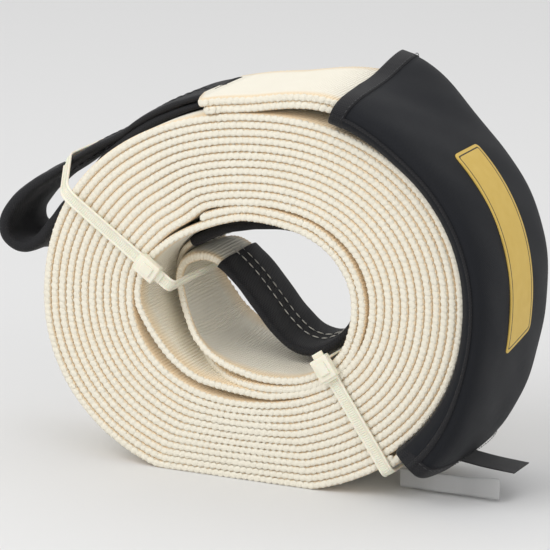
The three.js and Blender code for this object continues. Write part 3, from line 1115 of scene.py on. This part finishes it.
def tieSkin(key):
    tie = ties[key]
    half, thick = tieSizes["width"] / 2, tieSizes["thickness"] / 2
    edge, middle, bevel = half - tieSizes["edge"], thick - tieSizes["sunk"], tieSizes["bevel"]
    outline = [(-half, bevel), (-half + bevel, thick), (-edge, thick), (-edge + bevel, middle),
               (edge - bevel, middle), (edge, thick), (half - bevel, thick), (half, bevel),
               (half, bevel - thick), (half - bevel, -thick), (bevel - half, -thick), (-half, bevel - thick)]
    rings = []
    for a, y, outA, outY in tieLoop(tie):
        rings.append([tiePlace(tie, a + outA * rise, y + outY * rise, side) for side, rise in outline])
    return skin(key + "Tie", rings, nylon, looped=True)


def tieHead(key):
    # A rounded block with a raised face, a lip at one end and the tail's cut end at the other
    tie = ties[key]
    shell = bmesh.new()
    middle = Matrix.Translation((tie["headAlong"], -tieSizes["half"] - tieHeadShape["height"] / 2, 0))
    for size, offset in tieHeadShape["blocks"]:
        place = middle @ Matrix.Translation(offset) @ Matrix.Diagonal((*size, 1))
        made = bmesh.ops.create_cube(shell, size=1.0, matrix=place)
        edges = {edge for vert in made["verts"] for edge in vert.link_edges}
        bevel = min(size) * tieHeadShape["bevel"]
        bmesh.ops.bevel(shell, geom=list(edges), offset=bevel, segments=3, affect="EDGES", profile=0.6)
    for vert in shell.verts:
        vert.co = tiePlace(tie, *vert.co)
    mesh = bpy.data.meshes.new(key + "TieHead")
    shell.to_mesh(mesh)
    shell.free()
    mesh.uv_layers.new(name="cloth")
    return settled(key + "TieHead", mesh, nylon)


for key, tie in ties.items():
    handOver(tieSkin(key), "tie_nylon", tie["node"])
    handOver(tieHead(key), "tie_nylon")
    ribLine = []
    for a, y, outA, outY in tieLoop(tie):
        away = tiePlace(tie, a + outA, y + outY, 0) - tiePlace(tie, a, y, 0)
        ribLine.append((tiePlace(tie, a + outA * 0.5, y + outY * 0.5, 0), away.normalized()))
    handOver(beadRows(key + "TieRibs", [ribLine + ribLine[:1]], tieRibs, nylon), "tie_nylon")
print("ties made")

# Label loop

labels = {
    "tapeFlat": (0.043, 0.028),
    "tapeKnots": [(133.0, -98.4), (153.0, -101.0), (175.5, -102.6)],
    "tapeShape": (-16.0, 12.0, 0.45, 0.0),  # front, back, half thickness and curl
    "tagFlat": (0.071, 0.0125),
    "tagLeft": 97.0,
    "tagLength": 71,
    "tagLow": -120.5,
    "tagHigh": -108.0,
    "tagPlace": -21.1,
    "tagHalf": 0.35,
    "tagWave": 0.35,
}


def labelTape():
    line = [point + labels["tapeShape"] for point in curveThrough(labels["tapeKnots"], 1.0)]
    return strapSkin("labelTape", line, tapeCloth)


def labelTag():
    # A thin strip on edge, a little wavy along its low edge and higher at its right end
    rings = []
    half = labels["tagHalf"]
    for i in range(labels["tagLength"] + 1):
        x = labels["tagLeft"] + i
        wave = labels["tagWave"] * math.sin(i / 6.0)
        top = labels["tagHigh"] + 2 * smooth(140, 168, x)
        section = [(labels["tagPlace"] + wave * (1 - j / 8), mix(labels["tagLow"], top, j / 8))
                   for j in range(9)]
        front = [spot(x, y - half, z) for y, z in section]
        back = [spot(x, y + half, z) for y, z in reversed(section)]
        rings.append(front + back)
    return skin("labelTag", rings, tagCloth)


tape = handOver(labelTape(), "label_black", "label_tape")
tag = handOver(labelTag(), "label_white", "label_tag")
print("labels made")

# Floor and light

studio = {
    "floor": (0.72, 0.72, 0.72, 1),
    "floorReach": 8,
    "world": 0.72,
    "aim": (0, 0, 0.12),
    "lights": {  # place, size and power
        "key": ((-1.4, -2.0, 2.3), 2.2, 46),
        "fill": ((2.2, -1.6, 1.4), 2.0, 14),
        "top": ((0.2, 0.8, 2.6), 2.4, 12),
    },
}


def studioFloor():
    mesh = bpy.data.meshes.new("floor")
    reach = studio["floorReach"]
    corners = [(-reach, -reach, 0), (reach, -reach, 0), (reach, reach, 0), (-reach, reach, 0)]
    mesh.from_pydata(corners, [], [(0, 1, 2, 3)])
    floor = bpy.data.objects.new("floor", mesh)
    bpy.context.scene.collection.objects.link(floor)
    paper = Finish("floorPaper", Base_Color=studio["floor"], Roughness=0.9)
    mesh.materials.append(paper.material)


def softLight(name, place, size, power):
    lamp = bpy.data.lights.new(name, "AREA")
    lamp.size = size
    lamp.energy = power
    holder = bpy.data.objects.new(name, lamp)
    bpy.context.scene.collection.objects.link(holder)
    towards = Vector(place) - Vector(studio["aim"])
    holder.matrix_world = Matrix.Translation(place) @ towards.to_track_quat("Z", "Y").to_matrix().to_4x4()


studioFloor()
for name, (place, size, power) in studio["lights"].items():
    softLight(name, place, size, power)
world = bpy.data.worlds.new("studio")
world.use_nodes = True
world.node_tree.nodes["Background"].inputs["Color"].default_value = (1, 1, 1, 1)
world.node_tree.nodes["Background"].inputs["Strength"].default_value = studio["world"]
bpy.context.scene.world = world
bpy.context.scene.view_settings.view_transform = "Standard"
print("studio made")
